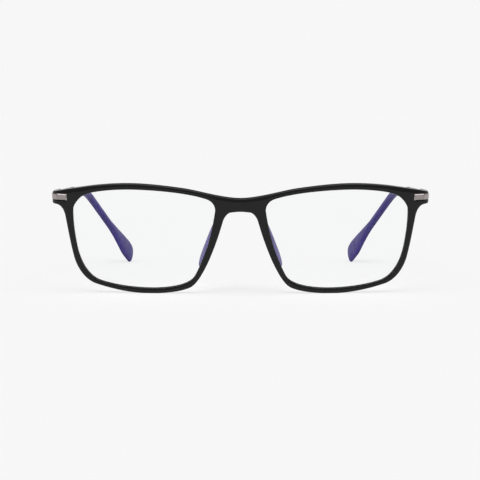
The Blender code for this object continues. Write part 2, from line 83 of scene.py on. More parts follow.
# Outline knots run clockwise: x, z, heading, reach back, reach on.
FRONT_HALF_OUTLINE = [
    (0.0, 35.4, 0, 5.0, 6.6),
    (21.3, 39.2, 8, 6.0, 5.9),
    (40.0, 40.8, 0, 6.0, 5.7),
    (58.0, 39.2, -10, 6.3, 4.1),
    (END_X - 0.7, 37.0, -13, 3.6, 0.4),
    (END_X, 36.3, -90, 0.4, 0.9),
    (END_X, 33.4, -90, 0.9, 0.4),
    (END_X - 0.7, 32.7, -173, 0.4, 0.7),
    (68.5, 32.6, -173, 0.4, 1.8),
    (64.9, 28.0, -101, 2.9, 5.0),
    (61.9, 13.1, -104, 5.2, 4.1),
    (53.9, 3.2, -163, 4.3, 5.9),
    (34.0, 0.0, -180, 7.1, 6.2),
    (18.4, 2.5, -210, 3.1, 2.0),
    (14.1, 7.8, -241, 1.9, 3.9),
    (9.8, 17.3, -249, 3.9, 4.1),
    (6.4, 27.6, -253, 4.0, 1.1),
    (3.7, 30.5, -188, 1.1, 1.0),
    (0.0, 30.8, -180, 1.0, 1.0),
]
OPENING_OUTLINE = [
    (40.0, 39.0, 0, 8.6, 7.0),
    (57.1, 36.9, -19, 3.5, 2.6),
    (62.2, 30.9, -88, 1.8, 4.5),
    (60.8, 16.8, -101, 4.5, 6.1),
    (51.8, 4.0, -164, 5.0, 6.2),
    (33.2, 1.7, -180, 5.6, 6.0),
    (17.4, 5.6, -227, 4.0, 2.1),
    (11.7, 18.9, -254, 3.6, 3.6),
    (9.2, 30.6, -261, 4.5, 2.1),
    (12.5, 35.6, -341, 2.6, 7.4),
]
# The moulding is drawn a little full, because its smoothing draws the edges in.
FRONT_VOXEL = 0.15
FRONT_SMOOTHING = 5
OUTLINE_ALLOWANCE = 0.1
OPENING_ALLOWANCE = 0.2
# The rim's faces ease back by CROWN_DEPTH at their edges, over CROWN_REACH.
CROWN_REACH = 1.2
CROWN_DEPTH = 0.3
CROWN_POINTS = 240
CROWN_MARGIN = 0.1
FIT = 0.05

# ---------------------------------------------------------------- lens
LENS_SET_BACK = 0.8
LENS_THICKNESS = 1.8
LENS_RIM_OVERLAP = 0.65
LENS_BEVEL_REACH = 0.85
LENS_RINGS = 14

# ---------------------------------------------------------------- end piece and trim
END_PIECE_X = 62.4
END_PIECE_LOW = 32.0
END_PIECE_DEPTH = 9.0
CORNER_RADIUS = 2.2
CORNER_RELIEF = 0.03
CORNER_STRAIGHT_POINTS = 8
CORNER_ARC_STEP = 5
# Cutters that leave the end block and round its corner: how far they reach.
WASTE_Z = (-5, 45)
BEYOND_Z = (30, 42)
BEYOND_REACH = 3.0
TRIM_START_X = 64.4
TRIM_END_Y = 4.4
TRIM_Z = (34.1, 36.35)
TRIM_THICKNESS = 0.8
TRIM_PROUD = 0.2
TRIM_CHAMFER = 0.3
# The trim pocket's cutter stands out of the face by this many of its fits, to cut it open.
TRIM_CUTTER_REACH = 12

# ---------------------------------------------------------------- hinge
BARREL_RADIUS = 1.2
PIN_RADIUS = 0.5
PIN_BORE_RADIUS = 0.56
# How far the bores' cutters run, to cut right through.
BORE_Z = (-4, 4)
LEAF_HOLE_Z = (-3, 3)
BARREL_HALF = 2.4
KNUCKLE_HALF = 0.8
KNUCKLE_GAP = 0.12
LEAF_BACK_Y = -2.55
LEAF_FACE_Y = -1.5
LEAF_SEAT_Y = -2.6
LEAF_X = (-1.3, 4.2)
LEAF_HALF_HEIGHT = 2.3
# The webs that join the knuckles to their leaves start inside the leaves and end short of the bore.
WEB_HALF = 0.9
WEB_ROOT = 0.2
WEB_GAP = 0.1
SIDE_WALL_X = 4.5
TEMPLE_SEAT_Y = -0.15
# Boxes cut from the end block for the hinge and for the temple's seat.
HINGE_CUTS = [
    ((-7, LEAF_SEAT_Y, -9), (SIDE_WALL_X, 9, 9)),
    ((-7, TEMPLE_SEAT_Y, -9), (12, 12, 9)),
]
CUTTER_CUTS = 11
LEAF_SCREW_X = 2.9
LEAF_SCREW_Z = 1.25
LEAF_SCREW_RADIUS = 0.45
LEAF_SCREW_HEAD = (0.9, 0.45)
PIN_HEAD = (1.0, 0.7)
# Parts of a screw's head, as shares of its height or its radius.
DOME_START = 0.25
LIP_TOP = 0.2
LIP_FOOT = 0.96
SLOT_HALF = 0.16
SLOT_DEPTH = 0.45
METAL_VOXEL = 0.07
METAL_SMOOTHING = 5
SCREW_VOXEL = 0.042
SCREW_SMOOTHING = 3

# ---------------------------------------------------------------- nose pad
PAD_ROOT = (10.75, 3.2, 17.6)
PAD_LEAN = -21.0
PAD_SPLAY = -12.0
PAD_SIZE = (2.4, 6.8, 19.4)
PAD_START_Y = 0.6
PAD_SQUARENESS = 3.2
PAD_CUTS = 23
PAD_SMOOTHING = 3
FIN_SIZE = (0.8, 5.4, 7.0)
FIN_START_Y = -0.5
FIN_BEVEL = 0.3

# ---------------------------------------------------------------- temple, measured along its length
STRAIGHT = 77.7
BEND_RADIUS = 25.3
DROP = 38.68
TEMPLE_X = 4.3
TOE_IN = 0.014
TIP_TOE_IN = 0.344
# length along, thickness, height, outward shift, upward shift
ARM_SECTIONS = [
    (0.15, 3.5, 3.7, 1.0, 0.0),
    (0.35, 3.8, 4.0, 1.0, 0.0),
    (3.5, 3.8, 4.0, 1.0, 0.0),
    (7.0, 2.6, 3.8, 0.45, 0.0),
    (11.0, 1.8, 3.5, 0.12, 0.0),
    (16.0, 1.5, 3.4, 0.0, 0.0),
    (61.0, 1.5, 3.4, 0.0, 0.0),
]
SLEEVE_SECTIONS = [
    (60.0, 2.0, 2.9, 0.0, 0.0),
    (60.15, 2.36, 3.26, 0.0, 0.0),
    (60.6, 2.6, 3.5, 0.0, 0.0),
    (77.7, 2.6, 3.5, 0.0, 0.0),
    (100.0, 2.6, 3.2, 0.0, 0.0),
    (108.0, 2.6, 3.2, 0.0, 0.0),
    (114.0, 2.6, 4.5, 0.0, 0.2),
    (120.0, 2.6, 7.1, 0.0, 0.0),
    (125.0, 2.6, 9.4, 0.0, -0.3),
    (129.0, 2.6, 9.8, 0.0, 0.0),
    (131.6, 2.3, 9.4, 0.0, 0.05),
    (132.4, 2.0, 7.9, 0.0, 0.6),
    (133.0, 1.6, 5.9, 0.0, 1.2),
    (133.4, 1.1, 4.2, 0.0, 1.5),
    (133.6, 0.5, 2.8, 0.0, 1.6),
]
SLEEVE_SQUARENESS = 2.6
TEMPLE_LEAF_X = (2.2, 3.5)
TEMPLE_LEAF_Y = (0.4, 9.0)
TEMPLE_LEAF_HALF_HEIGHT = 1.9
TEMPLE_WEB_Y = (-0.6, 1.0)
TEMPLE_WEB_ROOT = 0.4
LOFT_STEP = 0.5

# ---------------------------------------------------------------- looks
# Each has a darker colour, a lighter colour and the range of its roughness.
BLACK_LOOK = ((0.0016, 0.0016, 0.002), (0.0034, 0.0034, 0.0042), (0.05, 0.1))
TRIM_LOOK = ((0.5, 0.445, 0.435), (0.62, 0.56, 0.545), (0.2, 0.32))
ARM_LOOK = ((0.52, 0.465, 0.455), (0.66, 0.6, 0.585), (0.22, 0.34))
STEEL_LOOK = ((0.13, 0.13, 0.14), (0.2, 0.2, 0.21), (0.25, 0.4))
SLEEVE_LOOK = ((0.036, 0.025, 0.185), (0.05, 0.036, 0.224), (0.32, 0.44))
PAD_LOOK = ((0.06, 0.045, 0.2), (0.078, 0.06, 0.23), (0.18, 0.28))
LENS_COLOURS = ((0.99, 0.995, 1.0), (0.996, 0.998, 1.0))
# Faces that meet at more than this are shaded as an edge.
SHARP_ANGLE = 40

# ---------------------------------------------------------------- studio
CAMERA_BACK = 600.0
CAMERA_HEIGHT = 67.0
CAMERA_ACROSS = -0.17
CAMERA_PITCH = 4.4966
CAMERA_LENS = 121.87
CAMERA_SENSOR = 36.0
CAMERA_CLIP = (0.01, 200.0)
# Brightness of the backdrop where it is seen, then of each part of the room as a light.
BACKDROP = 0.93
ROOM_LIGHT = 0.36
DARK_LIGHT = 0.02
SIDE_LIGHT = 0.5
SWEEP_LIGHT = 0.9
STRIP_LIGHT = 0.45
CEILING_LIGHT = 1.8
# Where each light starts and ends, as parts of a unit direction: across |x|, back y and up z.
ROOM_BACK = (-0.15, 0.3)
SIDES_ACROSS = (0.7, 0.95)
BEHIND_BACK = (0.2, 0.6)
SWEEP_UP = (0.2, 0.25)
STRIP_UP = (0.27, 0.32)
STRIP_TOP_UP = (0.5, 0.7)
CEILING_UP = (0.8, 0.87)
CEILING_BACK = (0.1, 0.3)
# name, tilt from straight down, turn about z, strength, width
LAMPS = [
    ("key_light", 48, -28, 1.5, 45),
    ("fill_light", 52, 30, 1.1, 50),
]
# The floor's glow where it is seen and where it only lights, and how much light it reflects.
FLOOR_SHOWN = 0.69
FLOOR_GLOW = 0.36
FLOOR_ALBEDO = 0.22
FLOOR_HALF = 40.0


# ---------------------------------------------------------------- frames
HINGE_JOINT = next(joint for joint in frame["joints"] if joint["child"] == "temple_left")
PIN_CENTRE = Vector(HINGE_JOINT["pos_m"]) / METRES
PIN_AXIS = Vector(HINGE_JOINT["axis"])
TEMPLE_SLOPE = math.degrees(math.atan2(PIN_AXIS.y, PIN_AXIS.z))
HINGE = Matrix.Translation(PIN_CENTRE) @ Matrix.Rotation(math.radians(-TEMPLE_SLOPE), 4, "X")
FRONT = (
    Matrix.Translation(PIN_CENTRE)
    @ Matrix.Rotation(math.radians(FRONT_LEAN), 4, "X")
    @ Matrix.Translation(-Vector(PIVOT))
)
PAD = (
    FRONT
    @ Matrix.Translation(PAD_ROOT)
    @ Matrix.Rotation(math.radians(PAD_LEAN), 4, "Y")
    @ Matrix.Rotation(math.radians(PAD_SPLAY), 4, "Z")
)


def face_curve(x, z):
    """How far back the front's face lies: two lens curves, wrapped, and joined at the bridge."""
    wrap = math.tan(math.radians(FACE_WRAP))
    rise = (z - LENS_CENTRE[1]) ** 2 / (2 * LENS_CURVE_RADIUS)
    across = max(abs(x), BRIDGE_HALF) - LENS_CENTRE[0]
    back = wrap * across + across**2 / (2 * LENS_CURVE_RADIUS)
    if abs(x) < BRIDGE_HALF:
        slope = wrap + across / LENS_CURVE_RADIUS
        back += slope * (x * x - BRIDGE_HALF**2) / (2 * BRIDGE_HALF)
    return back + rise


def temple_place(along):
    """The centre and the sideways and upward axes of the temple at a length along it."""
    turn_length = BEND_RADIUS * math.radians(DROP)
    turn = min(max(along - STRAIGHT, 0.0), turn_length)
    run = max(along - STRAIGHT - turn_length, 0.0)
    angle = turn / BEND_RADIUS
    x = TEMPLE_X - TOE_IN * along - TIP_TOE_IN * (turn * turn / (2 * turn_length) + run)
    y = min(along, STRAIGHT) + BEND_RADIUS * math.sin(angle) + run * math.cos(angle)
    z = -BEND_RADIUS * (1 - math.cos(angle)) - run * math.sin(angle)
    toe = TOE_IN + TIP_TOE_IN * turn / turn_length
    forward = Vector((-toe, math.cos(angle), -math.sin(angle))).normalized()
    upward = Vector((0, math.sin(angle), math.cos(angle)))
    sideways = forward.cross(upward).normalized()
    return Vector((x, y, z)), sideways, upward


# ---------------------------------------------------------------- outlines
def heading(angle):
    """The unit vector that points along an angle in an outline's plane."""
    return Vector((math.cos(math.radians(angle)), math.sin(math.radians(angle))))


def span(start, end, count):
    """Points along one cubic span between two knots, without its end."""
    a, d = Vector(start[:2]), Vector(end[:2])
    b = a + heading(start[2]) * start[4]
    c = d - heading(end[2]) * end[3]
    points = []
    for i in range(count):
        t = i / count
        s = 1 - t
        points.append(a * s**3 + b * 3 * s * s * t + c * 3 * s * t * t + d * t**3)
    return points


def smooth_outline(knots, count=SPAN_POINTS):
    """A closed outline through its knots."""
    points = []
    for i, knot in enumerate(knots):
        points += span(knot, knots[(i + 1) % len(knots)], count)
    return points


def front_outline(count=SPAN_POINTS):
    """The whole front's outer outline, from its half and the half's mirror image."""
    half = []
    for start, end in zip(FRONT_HALF_OUTLINE, FRONT_HALF_OUTLINE[1:]):
        near = (Vector(end[:2]) - Vector(start[:2])).length < 3.0
        half += span(start, end, count // 3 if near else count)
    half.append(Vector(FRONT_HALF_OUTLINE[-1][:2]))
    other = [Vector((-p.x, p.y)) for p in reversed(half[1:-1])]
    return half + other


def grown(points, distance):
    """A clockwise outline moved outward by a distance."""
    moved_points = []
    for i, point in enumerate(points):
        along = (points[(i + 1) % len(points)] - points[i - 1]).normalized()
        moved_points.append(point + Vector((-along.y, along.x)) * distance)
    return moved_points


def eased(rows, step):
    """Rows of numbers with more put between, along smooth curves that never overshoot."""
    def slope(i, k):
        """The curve's slope in column k at row i."""
        if i == 0 or i == len(rows) - 1:
            return 0.0
        before = (rows[i][k] - rows[i - 1][k]) / (rows[i][0] - rows[i - 1][0])
        after = (rows[i + 1][k] - rows[i][k]) / (rows[i + 1][0] - rows[i][0])
        return 0.0 if before * after <= 0 else 2 * before * after / (before + after)

    dense = []
    for i, (near, far) in enumerate(zip(rows, rows[1:])):
        length = far[0] - near[0]
        count = max(2, math.ceil(length / step))
        for n in range(count):
            t = n / count
            row = [near[0] + length * t]
            for k in range(1, len(near)):
                start, end = slope(i, k) * length, slope(i + 1, k) * length
                bend = (2 * t**3 - 3 * t**2 + 1) * near[k] + (3 * t**2 - 2 * t**3) * far[k]
                row.append(bend + (t**3 - 2 * t**2 + t) * start + (t**3 - t**2) * end)
            dense.append(tuple(row))
    dense.append(rows[-1])
    return dense


# ---------------------------------------------------------------- meshes
def evaluated(ob):
    """A copy of an object's final mesh. The object is removed."""
    bpy.context.view_layer.update()
    graph = bpy.context.evaluated_depsgraph_get()
    mesh = bpy.data.meshes.new_from_object(ob.evaluated_get(graph))
    mesh.transform(ob.matrix_world)
    bpy.data.objects.remove(ob, do_unlink=True)
    return mesh


def scene_object(data):
    """A passing object that holds mesh or curve data while it is worked on."""
    ob = bpy.data.objects.new("work", data)
    bpy.context.scene.collection.objects.link(ob)
    return ob


def mesh_from(work):
    """A mesh from a finished bmesh, with its faces pointing out."""
    bmesh.ops.recalc_face_normals(work, faces=work.faces)
    mesh = bpy.data.meshes.new("work")
    work.to_mesh(mesh)
    work.free()
    return mesh


def slab(outlines, depth, rounding=0.0):
    """A flat plate in the front frame from y = 0 to depth; outlines after the first are holes."""
    curve = bpy.data.curves.new("work", "CURVE")
    curve.dimensions = "2D"
    curve.fill_mode = "BOTH"
    curve.extrude = depth / 2 - rounding
    curve.bevel_depth = rounding
    curve.bevel_resolution = 4
    curve.offset = -rounding
    for number, points in enumerate(outlines):
        ordered = points if number == 0 else list(reversed(points))
        spline = curve.splines.new("POLY")
        spline.points.add(len(ordered) - 1)
        for spline_point, point in zip(spline.points, ordered):
            spline_point.co = (point.x, point.y, 0.0, 1.0)
        spline.use_cyclic_u = True
    mesh = evaluated(scene_object(curve))
    mesh.transform(Matrix.Translation((0, depth / 2, 0)) @ Matrix.Rotation(math.radians(90), 4, "X"))
    work = bmesh.new()
    work.from_mesh(mesh)
    bmesh.ops.remove_doubles(work, verts=work.verts, dist=0.0001)
    return mesh_from(work)


def upright(points, low, high):
    """A prism from a plan outline of (x, y) points, from z = low to high."""
    work = bmesh.new()
    face = work.faces.new([work.verts.new((x, y, low)) for x, y in points])
    made = bmesh.ops.extrude_face_region(work, geom=[face])
    top = [v for v in made["geom"] if isinstance(v, bmesh.types.BMVert)]
    bmesh.ops.translate(work, verts=top, vec=(0, 0, high - low))
    return mesh_from(work)


def box(low, high, bevel=0.0):
    """A box between two corners, with its edges rounded if asked."""
    work = bmesh.new()
    bmesh.ops.create_cube(work, size=1.0)
    size = Vector(high) - Vector(low)
    bmesh.ops.scale(work, vec=size, verts=work.verts)
    bmesh.ops.translate(work, vec=(Vector(low) + Vector(high)) / 2, verts=work.verts)
    if bevel:
        edges = work.edges[:]
        bmesh.ops.bevel(work, geom=edges, offset=bevel, segments=3, profile=0.5, affect="EDGES")
    return mesh_from(work)


def cylinder(radius, low, high, sides=48):
    """A cylinder along z."""
    work = bmesh.new()
    middle = Matrix.Translation((0, 0, (low + high) / 2))
    bmesh.ops.create_cone(
        work,
        cap_ends=True,
        segments=sides,
        radius1=radius,
        radius2=radius,
        depth=high - low,
        matrix=middle,
    )
    return mesh_from(work)


def turned(profile, steps=48):
    """A solid of revolution about z; the profile runs from its top centre to its bottom centre."""
    mesh = bpy.data.meshes.new("work")
    edges = [(i, i + 1) for i in range(len(profile) - 1)]
    mesh.from_pydata([(r, 0.0, z) for r, z in profile], edges, [])
    ob = scene_object(mesh)
    screw = ob.modifiers.new("turn", "SCREW")
    screw.steps = screw.render_steps = steps
    screw.use_merge_vertices = True
    screw.merge_threshold = 0.0001
    return evaluated(ob)


def loft(rings):
    """A closed solid through rings that have the same number of points."""
    work = bmesh.new()
    rows = [[work.verts.new(p) for p in ring] for ring in rings]
    for near, far in zip(rows, rows[1:]):
        for i, vert in enumerate(near):
            j = (i + 1) % len(near)
            work.faces.new((vert, near[j], far[j], far[i]))
    work.faces.new(rows[0])
    work.faces.new(rows[-1])
    return mesh_from(work)


def combined(mesh, tool, operation):
    """The Boolean of two meshes."""
    ob, other = scene_object(mesh), scene_object(tool)
    step = ob.modifiers.new("combine", "BOOLEAN")
    step.operation = operation
    step.object = other
    result = evaluated(ob)
    bpy.data.objects.remove(other, do_unlink=True)
    return result


def heap(meshes):
    """Several meshes put in one, overlapping as they are."""
    work = bmesh.new()
    for mesh in meshes:
        work.from_mesh(mesh)
    joined = bpy.data.meshes.new("work")
    work.to_mesh(joined)
    work.free()
    return joined


def fused(meshes, voxel):
    """One even skin of small faces round overlapping solids."""
    ob = scene_object(heap(meshes))
    remesh = ob.modifiers.new("skin", "REMESH")
    remesh.mode = "VOXEL"
    remesh.voxel_size = voxel
    remesh.adaptivity = 0.0
    return evaluated(ob)


def smoothed(mesh, rounds):
    """The mesh with its sharp edges eased."""
    ob = scene_object(mesh)
    smooth = ob.modifiers.new("ease", "SMOOTH")
    smooth.factor = 0.5
    smooth.iterations = rounds
    return evaluated(ob)


def moved(mesh, matrix):
    """The same mesh, transformed."""
    mesh.transform(matrix)
    return mesh


def mirrored(mesh):
    """A copy mirrored across x = 0."""
    work = bmesh.new()
    work.from_mesh(mesh)
    bmesh.ops.scale(work, vec=(-1, 1, 1), verts=work.verts)
    bmesh.ops.reverse_faces(work, faces=work.faces)
    other = bpy.data.meshes.new("work")
    work.to_mesh(other)
    work.free()
    return other


def shifted(mesh, sign=1):
    """A mesh drawn on a flat front moved on to the front's curve, or off it with sign -1."""
    for vert in mesh.vertices:
        vert.co.y += sign * face_curve(vert.co.x, vert.co.z)
    return mesh


def flattened_cutter(low, high):
    """A cutting box of the hinge frame, with fine faces, as it lies on the flat front."""
    work = bmesh.new()
    work.from_mesh(box(low, high))
    bmesh.ops.subdivide_edges(work, edges=work.edges[:], cuts=CUTTER_CUTS, use_grid_fill=True)
    return shifted(moved(mesh_from(work), FRONT.inverted() @ HINGE), -1)


# ---------------------------------------------------------------- front pieces
def lens_solid(grow=0.0, count=SPAN_POINTS):
    """The +X lens on a flat front: two faces and a V bevel all round. It cuts its own groove."""
    edge = smooth_outline(OPENING_OUTLINE, count)
    rim = grown(edge, LENS_RIM_OVERLAP + grow)
    apex = grown(edge, LENS_BEVEL_REACH + grow)
    near, far = LENS_SET_BACK - grow, LENS_SET_BACK + LENS_THICKNESS + grow
    centre = Vector(LENS_CENTRE)
    work = bmesh.new()

    def ring(points, y, share=1.0):
        """One ring of verts, drawn in towards the centre by a share."""
        spots = [centre + (p - centre) * share for p in points]
        return [work.verts.new((p.x, y, p.y)) for p in spots]

    rings = [ring(rim, near, (i + 1) / LENS_RINGS) for i in range(LENS_RINGS)]
    rings.append(ring(apex, (near + far) / 2))
    rings += [ring(rim, far, (LENS_RINGS - i) / LENS_RINGS) for i in range(LENS_RINGS)]
    for inner, outer in zip(rings, rings[1:]):
        for i, vert in enumerate(inner):
            j = (i + 1) % len(inner)
            work.faces.new((vert, inner[j], outer[j], outer[i]))
    for last, y in ((rings[0], near), (rings[-1], far)):
        middle = work.verts.new((centre.x, y, centre.y))
        for i, vert in enumerate(last):
            work.faces.new((vert, last[(i + 1) % len(last)], middle))
    return mesh_from(work)


def corner_path(distance, start_x, end_y):
    """A plan path round the end piece's corner, at a distance outside its face."""
    turn_x, turn_y = END_X - CORNER_RADIUS, CORNER_RADIUS
    count = CORNER_STRAIGHT_POINTS
    path = [(start_x + (turn_x - start_x) * i / count, -distance) for i in range(count)]
    radius = CORNER_RADIUS + distance
    for degrees in range(-90, 1, CORNER_ARC_STEP):
        angle = math.radians(degrees)
        path.append((turn_x + radius * math.cos(angle), turn_y + radius * math.sin(angle)))
    return [*path, (END_X + distance, end_y)]


def corner_band(outer, inner, start_x, end_y):
    """A plan outline that follows the end piece round its corner, between two distances."""
    inner_path = corner_path(inner, start_x, end_y)
    return corner_path(outer, start_x, end_y) + list(reversed(inner_path))


def trim_band(grow):
    """The pocket that the trim plate sits in, on a flat front, with some room to grow."""
    outer, inner = TRIM_PROUD + TRIM_CUTTER_REACH * grow, -TRIM_THICKNESS - grow
    plan = corner_band(outer, inner, TRIM_START_X - grow, TRIM_END_Y + grow)
    return upright(plan, TRIM_Z[0] - grow, TRIM_Z[1] + grow)


def plain_front():
    """The front before it is skinned: overlapping rims and end blocks, with their pockets cut."""
    opening = grown(smooth_outline(OPENING_OUTLINE), -OPENING_ALLOWANCE)
    other = [Vector((-p.x, p.y)) for p in reversed(opening)]
    outlines = [grown(front_outline(), OUTLINE_ALLOWANCE), opening, other]
    rims = slab(outlines, RIM_DEPTH, EDGE_ROUNDING)
    blocks = slab(outlines, END_PIECE_DEPTH, EDGE_ROUNDING)
    wide, narrow = END_X + 5, END_PIECE_X
    low, high = WASTE_Z
    behind = [(-narrow, high), (narrow, high), (narrow, END_PIECE_LOW), (wide, END_PIECE_LOW)]
    behind += [(wide, low), (-wide, low), (-wide, END_PIECE_LOW), (-narrow, END_PIECE_LOW)]
    waste = slab([[Vector(point) for point in behind]], END_PIECE_DEPTH)
    waste_start = RIM_DEPTH - 2 * EDGE_ROUNDING
    blocks = combined(blocks, moved(waste, Matrix.Translation((0, waste_start, 0))), "DIFFERENCE")
    beyond_start, beyond_end = END_X - CORNER_RADIUS - 1, END_PIECE_DEPTH + 1
    beyond = corner_band(BEYOND_REACH, CORNER_RELIEF, beyond_start, beyond_end)
    solids = []
    for mesh in (rims, blocks):
        for side in (lambda m: m, mirrored):
            cutters = [upright(beyond, *BEYOND_Z), lens_solid(FIT), trim_band(FIT)]
            cutters += [flattened_cutter(*corners) for corners in HINGE_CUTS]
            for cutter in cutters:
                mesh = combined(mesh, side(cutter), "DIFFERENCE")
        solids.append(mesh)
    half, depth, height = FIN_SIZE[0] / 2, FIN_SIZE[1], FIN_SIZE[2] / 2
    fin = box((-half, FIN_START_Y, -height), (half, depth, height), FIN_BEVEL)
    fin = shifted(moved(fin, FRONT.inverted() @ PAD), -1)
    return solids + [fin, mirrored(fin)]


def crowned(mesh):
    """The front with its faces eased back towards their edges, as a polished moulding's are."""
    opening = smooth_outline(OPENING_OUTLINE, CROWN_POINTS)
    edge = front_outline(CROWN_POINTS) + opening + [Vector((-p.x, p.y)) for p in opening]
    tree = KDTree(len(edge))
    for i, p in enumerate(edge):
        tree.insert((p.x, 0.0, p.y), i)
    tree.balance()
    middle = RIM_DEPTH / 2
    for vert in mesh.vertices:
        if not -CROWN_MARGIN < vert.co.y < RIM_DEPTH + CROWN_MARGIN:
            continue
        _, _, distance = tree.find((vert.co.x, 0.0, vert.co.z))
        lack = max(0.0, 1 - distance / CROWN_REACH)
        share = (middle - vert.co.y) / middle
        vert.co.y += CROWN_DEPTH * lack * lack * share
    return mesh


def front_frame():
    """The front: rims, bridge and end pieces in one glossy moulding."""
    skin = smoothed(crowned(fused(plain_front(), FRONT_VOXEL)), FRONT_SMOOTHING)
    return moved(shifted(skin), FRONT)


def lens():
    """A clear lens."""
    return moved(shifted(lens_solid()), FRONT)


def trim_plate():
    """A metal plate that wraps the end piece's corner, with bright chamfers."""
    low, high = TRIM_Z
    face, shoulder, back = TRIM_PROUD, TRIM_PROUD - TRIM_CHAMFER, -TRIM_THICKNESS
    inner_low, inner_high = low + TRIM_CHAMFER, high - TRIM_CHAMFER
    levels = (low, low, inner_low, inner_high, high, high)

    def rings(distances, start_x, end_y):
        """Sections all along the plate, with the same outline of (distance, level) points."""
        lines = []
        for distance, z in zip(distances, levels):
            lines.append([(x, y, z) for x, y in corner_path(distance, start_x, end_y)])
        return list(zip(*lines))

    chamfered = (back, shoulder, face, face, shoulder, back)
    flush = (back, shoulder, shoulder, shoulder, shoulder, back)
    full = rings(chamfered, TRIM_START_X + TRIM_CHAMFER, TRIM_END_Y - TRIM_CHAMFER)
    ends = rings(flush, TRIM_START_X, TRIM_END_Y)
    return moved(shifted(loft([ends[0], *full, ends[-1]])), FRONT)


def nose_pad():
    """A soft pillow that is slipped over the front's fin."""
    work = bmesh.new()
    bmesh.ops.create_cube(work, size=2.0)
    bmesh.ops.subdivide_edges(work, edges=work.edges[:], cuts=PAD_CUTS, use_grid_fill=True)
    half = Vector(PAD_SIZE) / 2
    for vert in work.verts:
        reach = sum(abs(c) ** PAD_SQUARENESS for c in vert.co) ** (1 / PAD_SQUARENESS)
        spot = vert.co / reach
        vert.co = Vector((spot.x * half.x, spot.y * half.y, spot.z * half.z))
    pillow = moved(mesh_from(work), Matrix.Translation((0, PAD_START_Y + half.y, 0)))
    return moved(smoothed(pillow, PAD_SMOOTHING), PAD)


# ---------------------------------------------------------------- hinge pieces
def softened(meshes, matrix):
    """Small metal solids as one piece with eased edges."""
    return moved(smoothed(fused(meshes, METAL_VOXEL), METAL_SMOOTHING), matrix)


def leaf_screw_place(up):
    """Where a leaf screw's axis meets the leaf's face; its head faces back."""
    spot = Matrix.Translation((LEAF_SCREW_X, LEAF_FACE_Y, LEAF_SCREW_Z * up))
    return spot @ Matrix.Rotation(math.radians(-90), 4, "X")


def front_hinge():
    """The front leaf with its two knuckles."""
    start, end, half = *LEAF_X, LEAF_HALF_HEIGHT
    leaf = box((start, LEAF_BACK_Y, -half), (end, LEAF_FACE_Y, half))
    for up in (1, -1):
        hole = moved(cylinder(LEAF_SCREW_RADIUS + FIT, *LEAF_HOLE_Z), leaf_screw_place(up))
        leaf = combined(leaf, hole, "DIFFERENCE")
    solids = [leaf]
    low = KNUCKLE_HALF + KNUCKLE_GAP
    for up in (1, -1):
        ends = sorted((low * up, BARREL_HALF * up))
        bore = cylinder(PIN_BORE_RADIUS, *BORE_Z)
        knuckle = combined(cylinder(BARREL_RADIUS, *ends), bore, "DIFFERENCE")
        web_end = -PIN_BORE_RADIUS - WEB_GAP
        web = box((-WEB_HALF, LEAF_FACE_Y - WEB_ROOT, ends[0]), (WEB_HALF, web_end, ends[1]))
        solids += [knuckle, web]
    return softened(solids, HINGE)


def domed_screw(shank_radius, head, head_low, tip):
    """A slotted screw along z: a domed head on a plain shank."""
    head_radius, head_height = head
    profile = [(0, head_low + head_height)]
    for angle in range(8, 88, 8):
        reach = math.radians(angle)
        rise = head_height * (DOME_START + (1 - DOME_START) * math.cos(reach))
        profile.append((head_radius * math.sin(reach), head_low + rise))
    profile += [(head_radius, head_low + head_height * LIP_TOP), (head_radius * LIP_FOOT, head_low)]
    profile += [(shank_radius, head_low), (shank_radius, tip), (0, tip)]
    mesh = turned(profile)
    slot_half, top = head_radius * SLOT_HALF, head_low + head_height
    slot_low = top - head_height * SLOT_DEPTH
    slot = box((-2 * head_radius, -slot_half, slot_low), (2 * head_radius, slot_half, top + 1))
    mesh = combined(mesh, slot, "DIFFERENCE")
    return smoothed(fused([mesh], SCREW_VOXEL), SCREW_SMOOTHING)


def hinge_screw():
    """The pin of the hinge, with its head above the top knuckle."""
    return moved(domed_screw(PIN_RADIUS, PIN_HEAD, BARREL_HALF + FIT, -BARREL_HALF), HINGE)


def leaf_screw(up):
    """One of the two small screws that hold the front leaf."""
    mesh = domed_screw(LEAF_SCREW_RADIUS, LEAF_SCREW_HEAD, FIT, -1.0)
    return moved(mesh, HINGE @ leaf_screw_place(up))


# ---------------------------------------------------------------- temple pieces
def temple_hinge():
    """The temple leaf with its one knuckle."""
    low, high = TEMPLE_LEAF_X
    half = TEMPLE_LEAF_HALF_HEIGHT
    leaf = box((low, TEMPLE_LEAF_Y[0], -half), (high, TEMPLE_LEAF_Y[1], half))
    knuckle = cylinder(BARREL_RADIUS, -KNUCKLE_HALF, KNUCKLE_HALF)
    knuckle = combined(knuckle, cylinder(PIN_BORE_RADIUS, *BORE_Z), "DIFFERENCE")
    near, far = TEMPLE_WEB_Y
    web_start, web_end = PIN_BORE_RADIUS + WEB_GAP, low + TEMPLE_WEB_ROOT
    web = box((web_start, near, -KNUCKLE_HALF), (web_end, far, KNUCKLE_HALF))
    return softened([leaf, knuckle, web], HINGE)


def bar_ring(along, thickness, height, out=0.0, up=0.0, corner=0.35, steps=5):
    """A section of a flat bar with rounded corners."""
    centre, sideways, upward = temple_place(along)
    centre += sideways * out + upward * up
    ring = []
    for quarter in range(4):
        side = 1 if quarter in (0, 3) else -1
        level = 1 if quarter in (0, 1) else -1
        for i in range(steps + 1):
            angle = math.radians(90 * (quarter + i / steps))
            u = side * (thickness / 2 - corner) + corner * math.cos(angle)
            v = level * (height / 2 - corner) + corner * math.sin(angle)
            ring.append(centre + sideways * u + upward * v)
    return ring


